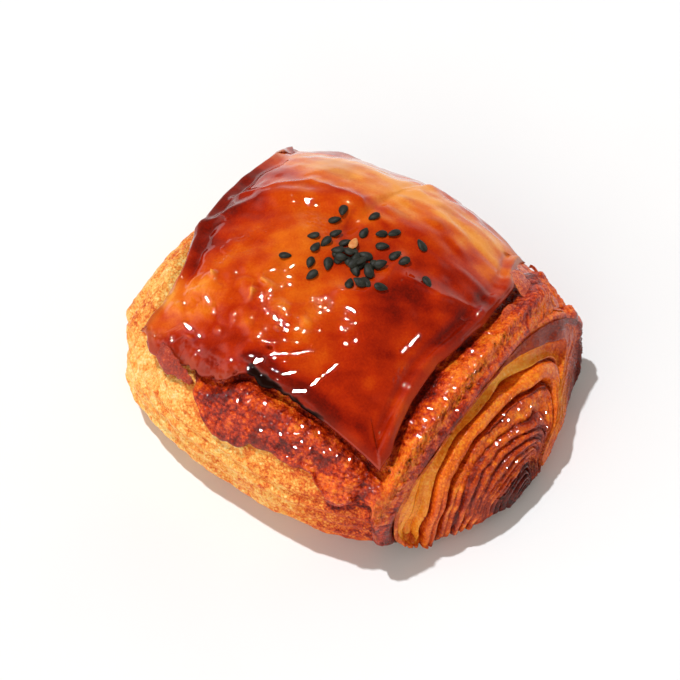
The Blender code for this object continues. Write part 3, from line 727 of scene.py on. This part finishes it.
FROTH = (  # x, y and width of patches of tiny bubbles
    (-22.0, -27.2, 2.6), (3.0, -16.0, 2.8), (15.2, -16.6, 2.8), (-1.8, -23.0, 2.0), (-8.0, -21.5, 2.4),
    (6.5, -20.5, 1.6), (-26.0, -14.0, 3.2), (-22.5, -6.5, 2.4), (26.5, -9.5, 1.8), (28.5, -18.0, 1.2),
    (-11.5, 3.5, 1.6), (16.5, -27.0, 0.8),
)
BAKE_SPOTS = (  # x, y, width and how much darker it baked
    (8, -22, 9, -0.1), (26, 14, 9, 0.12), (18, -5, 9, 0.2), (-8, -5, 12, -0.08), (-31, -28, 8, -0.32),
    (31, 20, 5, -0.14),
)
UP_FOLDS = (  # lines of the pulled-up folds, with their heights and widths
    (((-37, 3.8), (-28.8, 7), (-20.2, 14.6), (-12.6, 14.2), (-5.4, 14.4)), 1.3, 2.0),
    (((-5.4, 14.4), (-2.6, 22), (0.5, 31), (2.5, 35.6)), 1.0, 2.2),
    (((16.8, 2.4), (25.2, 4.0), (31.8, 7.6), (35.6, 8.2)), 1.6, 1.9),
    (((5.6, -10.2), (11.4, -7.4), (12.8, -1.0), (11.8, 6.4)), 1.1, 1.7),
)
VALLEY = ((-5.0, 14.8), (-4.4, 8.8), (-2.8, 3.0))
GAPING_EDGE = ((-2.4, -35.4), (2.0, -36.0), (8.0, -36.3), (14.0, -36.4), (20.0, -36.8))


def arch_height(x, y):
    """Height of the arch over (x, y): waist + rise * (1 - r^p)^(1/p), straight past FREE_FROM."""
    front, back = reaches(np.clip(x, SECTION_LEFT, RIM_RIGHT))
    r = np.abs(y - CREST_Y) / np.where(y < CREST_Y, front, back)
    held = np.minimum(r, FREE_FROM)
    up = (1 - held**ARCH_POWER) ** (1 / ARCH_POWER)
    slope = held ** (ARCH_POWER - 1) * up ** (1 - ARCH_POWER)
    return WAIST_Z + (crest(x) - WAIST_Z) * (up - slope * (r - held))


def sheet_plan(u, v):
    """Plan position of the sheet's point (u, v), its edges wandering."""
    left, right, front, back = sheet_wander(u, v)
    sideways = left * rise(-u, 0, 1) + right * rise(u, 0, 1)
    lengthways = front * rise(-v, 0.3, 1) - back * rise(v, 0, 1)
    return SHEET_HALF * u - sideways, SHEET_HALF * v - lengthways


def sheet_folds(x, y):
    """Height of the sheet's folds, lifted edges and dimples over the arch."""
    ridge = 1.1 * bump(y - 0.2 * x - 14 + 0.02 * (x + 12) ** 2, 0, 3) * rise(-x, -2, 8)
    crease = -0.8 * bump(x - 0.1 * (y - 15) + 2, 0, 1.8) * rise(y, 2, 10)
    swell = 1.4 * bump(x, 12, 12) * bump(y, 26, 12)
    hollow = -0.5 * bump(x, 3, 9) * bump(y, 3, 8)
    pit = -0.7 * bump(x, 30, 2.2) * bump(y, 7, 2.2)
    lip = 0.9 * rise(x, 31, 34.5)
    gaping = 2.2 * np.clip((-y - 20) / 17, 0, 1.1) ** 2 * bump(x, 6, 12)
    corners = 2.0 * rise(np.abs(x) + np.abs(y), 58, 70) * (1 - 0.8 * rise(x + y, 40, 60))
    ripples = 0.35 * np.sin(x / 4.1 + 1.3) * np.sin(y / 5.3 + 0.4)
    folds = ridge + crease + swell + hollow + pit + lip + gaping + corners + ripples
    return np.maximum(folds, DEEPEST_FOLD)


def sheet_point(x, y, over):
    """The sheet's outer face at (x, y), moved along the arch's normal by its folds and over."""
    step = 0.2
    slope_x = (arch_height(x + step, y) - arch_height(x - step, y)) / (2 * step)
    slope_y = (arch_height(x, y + step) - arch_height(x, y - step)) / (2 * step)
    normal = np.stack([-slope_x, -slope_y, np.ones_like(slope_x)], axis=-1)
    normal /= np.linalg.norm(normal, axis=-1, keepdims=True)
    foot = np.stack([x, y, arch_height(x, y)], axis=-1)
    return foot + normal * (sheet_folds(x, y) + over)[..., None], normal


def fold(away, height, width):
    """A pulled-up fold: a sharp-crested tent, height * e^(-|distance| / width) with a small flat top."""
    return height * np.exp(-(np.sqrt(away**2 + 0.16) - 0.4) / width)


def glazed_dough():
    """Top face as a grid, whose outer rows turn round the edge and run back underneath. Gives its points,
    its bake, crispness and wetness, and the plan position and relief that the seeds lie on."""
    turned = 1 + np.array(EDGE_ROWS)
    line = np.concatenate([-turned[::-1], np.linspace(-1, 1, 290), turned])
    u, v = np.meshgrid(line, line, indexing="ij")
    beyond = np.maximum(np.maximum(np.abs(u), np.abs(v)) - 1, 0)
    under = rise(beyond, 0, EDGE_TURN)
    outset = 0.45 * np.sin(np.pi * np.clip(beyond / EDGE_TURN, 0, 1))
    inset = np.maximum(beyond - EDGE_TURN, 0)
    flat_u = np.clip(u, -1, 1) * (1 - inset)
    flat_v = np.clip(v, -1, 1) * (1 - inset)
    x, y = sheet_plan(flat_u, flat_v)
    x = x + outset * np.sign(u) * (np.abs(u) > 1)
    y = y + outset * np.sign(v) * (np.abs(v) > 1)
    flat = np.stack([x, y], axis=-1)
    near_edge = (1 - np.maximum(np.abs(flat_u), np.abs(flat_v))) * SHEET_HALF
    torn = bump(near_edge, 0, 1.4)
    at_side = np.abs(flat_u) > np.abs(flat_v)
    x = x + torn * 0.35 * cloud(flat, 3.0, 51) * np.sign(u) * at_side
    ragged = 0.8 * cloud(flat, 3.2, 52) + 0.5 * cloud(flat, 1.3, 70)
    y = y + torn * ragged * np.sign(v) * ~at_side * (x < 14)

    # folds pulled up while the sheet sagged over the roll
    valley, _ = along_line(x, y, VALLEY)
    folds = -fold(valley, 0.8, 1.6)
    for line, height, width in UP_FOLDS:
        folds = folds + fold(along_line(x, y, line)[0], height, width)
    gape, inward = along_line(x, y, GAPING_EDGE)
    # Painted shadow: a dark strip in the gap under the lifted front edge, dipped a little, with a low ridge
    # beside it.
    gap_shadow = rise(0.5 * cloud(flat, 1.5, 64) - inward, -0.3, 0.2) * (gape < 3)
    gap_shadow = gap_shadow * rise(x, -3, -1) * rise(21 - x, 0, 3)
    folds = folds - 0.5 * gap_shadow + 0.3 * bump(inward, 1.0, 0.6) * (gape < 3)

    # swollen blisters, pulled askew, each with a moat round it
    blobs, moats = 0.0, 0.0
    swollen = 1 + 0.6 * cloud(flat, 4.0, 71) + 0.4 * cloud(flat, 1.7, 72)
    for blob_x, blob_y, wide in BLOBS:
        away = np.hypot(x - blob_x + 0.5 * (y - blob_y), (y - blob_y) * 1.3) * swollen
        blobs = blobs + 0.5 * bump(away, 0, wide)
        moats = np.maximum(moats, bump(away, wide * 1.4, 0.8))

    # patches of tiny bubbles that the glaze dried over
    froth = 0.0
    for patch_x, patch_y, wide in FROTH:
        froth = froth + bump(np.hypot(x - patch_x, y - patch_y), 0, wide)
    froth = froth + 0.6 * rise(-y, 36.0, 37.5) * rise(-x, -1, 3)
    froth = np.clip(froth * (0.9 + 0.8 * cloud(flat, 1.6, 63)), 0, 1)
    bubbles = froth * (0.3 * blisters(x, y, 0.8, 54) + 0.22 * blisters(x, y, 1.4, 55))

    # wrinkles, lumps and rolled-up rims
    drag = np.stack([x * 0.3 + y * 0.1, y], axis=-1)
    wrinkles = 0.3 * cloud(drag, 1.9, 59) * rise(y + 0.3 * x, 8, 24) * rise(x, -8, 6)
    slant = np.stack([0.3 * (0.82 * x + 0.57 * y), 0.82 * y - 0.57 * x], axis=-1)
    lumps = 0.42 * cloud(flat, 7.0, 56) + 0.14 * cloud(flat, 2.6, 57) * (1 + 1.2 * rise(-x - y, 8, 36))
    lumps = lumps + 0.12 * cloud(slant, 1.7, 65) * rise(-y, 8, 16) * rise(20 - x, 0, 8)
    edge_roll = 0.8 * bump(near_edge, 1.3, 1.0) - 0.5 * bump(near_edge, 3.4, 1.1)
    edge_roll = edge_roll * at_side * (x > 0)
    left_rim = at_side * (x < 0) * rise(y, -30, -20)
    edge_roll = edge_roll + left_rim * (0.8 * bump(near_edge, 0.9, 0.9) - 0.6 * bump(near_edge, 3.6, 1.5))
    skin = rise(-y, 35.6, 37.4) * rise(-x, -1, 3)  # frothy torn skin in front of the gap
    bubbles = bubbles + skin * (0.4 * blisters(x, y, 1.7, 67) + 0.3 * cloud(flat, 1.6, 68))
    relief = (bubbles + lumps + wrinkles + folds + blobs - 0.06 * moats) * (1 - 0.7 * torn) + edge_roll
    over = relief - SHEET_THICK * under
    points, _ = sheet_point(x, y, np.zeros_like(x))
    arch = outward(points, False)
    arch = arch * np.sign(arch[..., 2:3])
    points = glints(points + arch * over[..., None], x, y, LONG_FLATS, BUBBLE_PATCHES, 17)

    # how dark the glaze baked, the painted shadow in the gap under the lifted front edge, and the coat left
    # dull in that gap
    left_side = rise(-x, 20, 34) * rise(y, -30, -14)
    glaze = 0.62 + 0.1 * cloud(flat, 11.0, 60) + 0.1 * cloud(flat, 4.0, 61) + 0.03 * cloud(slant, 1.6, 66)
    glaze = glaze + 0.04 * rise(x - y, 10, 45) - 0.44 * rise(y - 0.6 * np.maximum(x - 20, 0), 12, 26)
    glaze = glaze - 0.24 * blobs + 0.04 * moats
    glaze = glaze + 0.14 * cloud(drag, 2.0, 69) * rise(y, 4, 16) + 0.22 * rise(y, 29, 36)
    glaze = glaze + 0.14 * bump(near_edge, 3.0, 2.0) + 0.19 * left_side + 0.12 * bump(valley, 0, 1.5)
    dark_rim = 0.1 * bump(near_edge, 3.6, 1.8) + 0.06 * bump(near_edge, 0.3, 0.8)
    glaze = glaze + left_rim * dark_rim * rise(24 - y, 0, 20)
    for spot_x, spot_y, wide, change in BAKE_SPOTS:
        glaze = glaze + change * bump(np.hypot(x - spot_x, y - spot_y), 0, wide)
    # A soft painted shade round the gap, and the gap's dark painted shadow on top of it.
    glaze = np.clip(glaze + 0.2 * bump(inward, 1.4, 1.8) * (gape < 5) - 0.08 * skin, 0.18, 0.9) + 0.4 * gap_shadow
    crisp = 0.5 * bump(near_edge, 0.2, 1.2) * (1 - gap_shadow) + 0.22 * skin * (1 - gap_shadow)
    crisp = crisp + 0.25 * rise(cloud(drag, 3.0, 62), 0.3, 0.9) * rise(y, 0, 12)
    return points, glaze, np.clip(crisp, 0, 0.6), 1 - 0.85 * gap_shadow, (x, y, relief)


sheet_grid, sheet_glaze, sheet_crisp, sheet_wet, sheet_relief = glazed_dough()
glazed_sheet = grid_piece("glazed_sheet", sheet_grid[::-1], False,
                          {"bake": sheet_glaze[::-1], "crisp": sheet_crisp[::-1], "wet": sheet_wet[::-1]})


def glaze_material():
    """Sugar glaze over red-brown dough: deep colour under a coat that is clear where it is wet."""
    colours = oven_colour_group("glaze colour", GLAZE_LEVELS, GLAZE_COLOURS, (130, 44, 30))
    material = dough_material("sugar-glazed dough", colours, freckle=0.14, bubbles=0.0, depth=0.04,
                              roughness=0.4, sheen=0.0, soft=0.0, coat=(1.0, 0.02, 1.38))
    tree = material.node_tree
    fill_sockets(tree, tree.nodes["Principled BSDF"], {"Coat Weight": mask_of(tree, "wet")})
    return material


glazed_sheet.data.materials.append(glaze_material())
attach(glazed_sheet, "root")
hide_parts("glazed_top_sheet")

# ---------------------------------------------------------------------------------------------
# Loose flakes. Paper-thin leaves of crust that tore off the layers under them while the pastry rose:
# a curled flap at the sheet's front left corner and brittle shards over the back of the open end.


def leaf(x_range, degree_range, lifts, curl, seed):
    """A closed leaf over the roll's section: it stands off by lifts at its two ends and curls up along
    its front edge, with a ragged outline and thickness that runs out to nothing all round."""
    along = np.linspace(0, 1, 46)[:, None]
    over = np.linspace(0, 1, 34)[None, :]
    line = (along * 20)[..., None]  # the outline's raggedness, over 20 mm of noise
    first = degree_range[0] + 1.2 * cloud(line, 3.0, seed) + 0.6 * cloud(line, 1.2, seed + 1)
    last = degree_range[1] + 1.2 * cloud(line, 3.0, seed + 2) + 0.6 * cloud(line, 1.2, seed + 3)
    middle = (first + last) / 2
    pinch = np.clip(4 * along * (1 - along), 0, 1) ** 0.4
    degrees = middle + ((first - middle) * (1 - over) + (last - middle) * over) * pinch
    x = x_range[0] + (x_range[1] - x_range[0]) * along + 0 * over
    grid = np.stack([x, *section(x, np.radians(degrees))], axis=-1)
    normal = outward(grid, False)
    normal = normal * np.sign(np.sum(normal * (grid - (0, 0, 12)), axis=-1, keepdims=True))
    stand = lifts[0] * (1 - along) + lifts[1] * along + curl * over**2 + 0.25 * cloud(grid, 2.2, seed + 4)
    thick = 0.4 * np.sqrt(np.clip(4 * over * (1 - over) * pinch, 0, 1))
    top = grid + normal * (stand + thick / 2)[..., None]
    bottom = grid + normal * (stand - thick / 2)[..., None]
    shell = np.concatenate([top, bottom[:, ::-1]], axis=1)
    inside_out = np.sum((normal * np.cross(np.gradient(grid, axis=1), np.gradient(grid, axis=0)))) < 0
    return shell[::-1] if inside_out else shell


def joined_piece(name, grids, masks):
    """One object of several closed grids, each with these even masks."""
    joined = bmesh.new()
    for grid in grids:
        part = grid_piece(name, grid, True, masks)
        joined.from_mesh(part.data)
        spent = part.data
        bpy.data.objects.remove(part)
        bpy.data.meshes.remove(spent)
    mesh = bpy.data.meshes.new(name)
    joined.to_mesh(mesh)
    joined.free()
    return placed(name, mesh)


def leaf_piece(name, shapes, bake, crisp):
    """Leaves of egg-washed crust, joined into one piece with an even bake."""
    leaves = joined_piece(name, [leaf(*shape) for shape in shapes], {"bake": bake, "crisp": crisp})
    leaves.data.materials.append(egg_wash)
    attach(leaves, "root")
    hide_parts("rolled_pastry")


leaf_piece("back_shards", (  # x from and to, degrees from and to, lifts, curl and seed of each
    ((32.0, 45.0), (46, 62), (0.9, 1.3), 0.25, 81),
    ((35.0, 46.5), (30, 44), (0.8, 1.2), 0.3, 86),
    ((31.0, 43.0), (12, 27), (0.8, 1.1), 0.3, 91),
    ((37.0, 45.0), (66, 82), (1.1, 1.3), 0.2, 96),
), 0.58, 0.15)
leaf_piece("torn_flap", (
    ((-31.0, -13.0), (146.0, 152.5), (1.1, 1.4), 0.4, 101),
), 0.72, 0.45)

# ---------------------------------------------------------------------------------------------
# Black sesame. Whole seeds scattered by hand on the wet glaze: a heap two deep in the middle and
# loose ones fanned out round it, each a flat drop with a pointed tip. One seed in the heap is pale.

SEED_SIZE = (3.5, 2.2, 1.2)
SEED_SINK = 0.15
SEED_MIDDLE = (4.5, -1.4)
HEAP_SEEDS, HEAP_SPREAD = 24, (3.6, 2.6)
LOOSE_SEEDS, LOOSE_NEAR, LOOSE_FAR = 18, 8.0, 18.0
LOOSE_FAN = (15.0, 235.0)
DRAW = 1309
PALE_SEED = 5


def seed_places():
    """x, y, heading and stacking height of each seed."""
    draw = random.Random(DRAW)
    places = []
    while len(places) < HEAP_SEEDS:
        x, y = (draw.gauss(middle, spread) for middle, spread in zip(SEED_MIDDLE, HEAP_SPREAD))
        near = [p for p in places if math.hypot(p[0] - x, p[1] - y) < 1.7]
        if len(near) < 2:
            places.append((x, y, draw.uniform(0, math.tau), 0.75 * len(near)))
    first, last = LOOSE_FAN
    for i in range(LOOSE_SEEDS):
        way = math.radians(first + (last - first) * (i + draw.random()) / LOOSE_SEEDS)
        reach = draw.uniform(LOOSE_NEAR, LOOSE_FAR)
        x, y = SEED_MIDDLE[0] + reach * math.cos(way), SEED_MIDDLE[1] + reach * math.sin(way)
        places.append((x, y, draw.uniform(0, math.tau), 0.0))
    return np.array(places)


def seed_grids(places):
    """One closed drop for each place, lying on the sheet's relief: a ball whose width narrows towards the
    tip, with faint ribs."""
    across, along = np.linspace(0, math.pi, 13), np.linspace(0, 2 * math.pi, 18, endpoint=False)
    polar, spin = np.meshgrid(across, along, indexing="ij")
    ribs = 1 + 0.02 * np.cos(6 * spin)
    wide, thick = np.sin(polar) * np.cos(spin) * ribs, np.sin(polar) * np.sin(spin) * ribs
    ball = np.stack([np.cos(polar), wide, thick], axis=-1)
    ball[..., 1] *= 1 - 0.28 * ball[..., 0] - 0.12 * ball[..., 0] ** 2
    ball = ball * np.array(SEED_SIZE) / 2
    x, y, heading, stacked = places.T
    sheet_x, sheet_y, relief = sheet_relief
    nearest = [np.argmin(np.hypot(sheet_x - seed_x, sheet_y - seed_y)) for seed_x, seed_y in zip(x, y)]
    points, normal = sheet_point(x, y, SEED_SIZE[2] / 2 - SEED_SINK + stacked + relief.ravel()[nearest])
    rng = np.random.default_rng(71)
    normal = normal + rng.uniform(-0.22, 0.22, normal.shape) * (1 + stacked[:, None])
    normal /= np.linalg.norm(normal, axis=1, keepdims=True)
    length = np.stack([np.cos(heading), np.sin(heading), np.zeros_like(x)], axis=1)
    length -= normal * np.sum(length * normal, axis=1, keepdims=True)
    length /= np.linalg.norm(length, axis=1, keepdims=True)
    side = np.cross(normal, length)
    frame_of = np.stack([length, side, normal], axis=1)
    size = rng.uniform(0.88, 1.06, len(x))
    return points[:, None, None] + np.einsum("abk,skc->sabc", ball, frame_of) * size[:, None, None, None]


def seed_piece(name, places, colour, tip_colour):
    """Join the seeds of one kind into a mesh and give it a dry, faintly pitted skin."""
    seeds = joined_piece(name, [grid[::-1] for grid in seed_grids(places)], {})
    material, tree, shader = new_material(name)
    stain = noise_at(tree, 1.1, detail=3.0)
    pits = add_node(tree, "ShaderNodeBump", {"Strength": 0.8, "Distance": 0.08 * MM,
                                             "Height": noise_at(tree, 0.35)})
    fill_sockets(tree, shader, {
        "Base Color": colour_ramp(tree, stain, ((0.35, colour), (0.75, tip_colour))),
        "Normal": pits.outputs["Normal"], "Roughness": 0.5, "Specular IOR Level": 0.25,
    })
    seeds.data.materials.append(material)
    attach(seeds, "root")
    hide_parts("glazed_top_sheet")


all_places = seed_places()
is_pale = np.arange(len(all_places)) == PALE_SEED
seed_piece("black_sesame", all_places[~is_pale], linear(20, 21, 16), linear(44, 45, 34))
seed_piece("pale_sesame", all_places[is_pale], linear(200, 120, 60), linear(222, 160, 96))

# ---------------------------------------------------------------------------------------------
# White table, one hard lamp high up behind on the left, and the white room round it: bright in front
# and behind, dim at the sides and overhead. The camera looks down on the pastry from the front right.

TABLE_COLOUR = (239, 240, 241)
AIM = (-1.0, -7.25)  # from the point over the sheet's middle to the picture's middle: right, and up
LENS = 127.06
LAMP_POWER, LAMP_SPREAD, LAMP_COLOUR = 2.4, 2.0, (0.95, 0.975, 1.0)
ROOM_POWER, ROOM_SWING = 1.05, 0.7  # the swing is in radians, round from the viewer
WALLS = (  # light from the wall in front, through the sides, to the wall behind
    (0.0, (1.85, 1.67, 1.5, 1)), (0.3, (1.25, 1.13, 1.02, 1)), (0.5, (0.18, 0.16, 0.14, 1)),
    (0.75, (0.32, 0.29, 0.26, 1)), (1.0, (1.25, 1.15, 1.05, 1)),
)
CEILING = (0.12, 0.12, 0.12, 1)

bpy.ops.mesh.primitive_plane_add(size=6.0)
table = bpy.context.object
table.name = "table"
paper, paper_tree, paper_shader = new_material("white table")
faint = colour_ramp(paper_tree, noise_at(paper_tree, 60.0), (
    (0.3, linear(*TABLE_COLOUR)), (0.7, linear(*(c + 2 for c in TABLE_COLOUR)))))
fill_sockets(paper_tree, paper_shader, {"Base Color": faint, "Roughness": 0.9, "Specular IOR Level": 0.1})
table.data.materials.append(paper)

turn = math.radians(VIEW_TURN)
toward = Vector(TOWARD_VIEWER)
right = Vector((math.cos(turn), math.sin(turn), 0))
up = toward.cross(right)
over_sheet = Vector((*SHEET_CENTRE, VIEW_HEIGHT)) * MM
aim = over_sheet + (right * AIM[0] + up * AIM[1]) * MM
camera = placed("camera", bpy.data.cameras.new("camera"))
camera.data.lens = LENS
camera.data.clip_start = 0.01
camera.location = over_sheet + toward * VIEW_FAR * MM
camera.rotation_euler = (camera.location - aim).to_track_quat("Z", "Y").to_euler()
bpy.context.scene.camera = camera

lamp = placed("lamp", bpy.data.lights.new("lamp", "SUN"))
lamp.data.energy = LAMP_POWER
lamp.data.angle = math.radians(LAMP_SPREAD)
lamp.data.color = LAMP_COLOUR
lamp.rotation_euler = Vector(TOWARD_LAMP).to_track_quat("Z", "Y").to_euler()

room = bpy.data.worlds.new("white room")
room.use_nodes = True
air = room.node_tree
gaze = add_node(air, "ShaderNodeTexCoord").outputs["Generated"]
swung = turn - ROOM_SWING
behind = add_node(air, "ShaderNodeVectorMath", {0: gaze, 1: (-math.sin(swung), math.cos(swung), 0)},
                  operation="DOT_PRODUCT").outputs["Value"]
behind = worked_out(air, "ADD", worked_out(air, "MULTIPLY", behind, 0.5), 0.5)
upward = add_node(air, "ShaderNodeSeparateXYZ", {0: gaze}).outputs["Z"]
overhead = add_node(air, "ShaderNodeMapRange", {"Value": upward, "From Min": 0.45, "From Max": 0.9},
                    interpolation_type="SMOOTHSTEP").outputs[0]
light = mixed(air, overhead, colour_ramp(air, behind, WALLS), CEILING)
fill_sockets(air, air.nodes["Background"], {"Color": light, "Strength": ROOM_POWER})
bpy.context.scene.world = room
bpy.context.scene.view_settings.view_transform = "Standard"
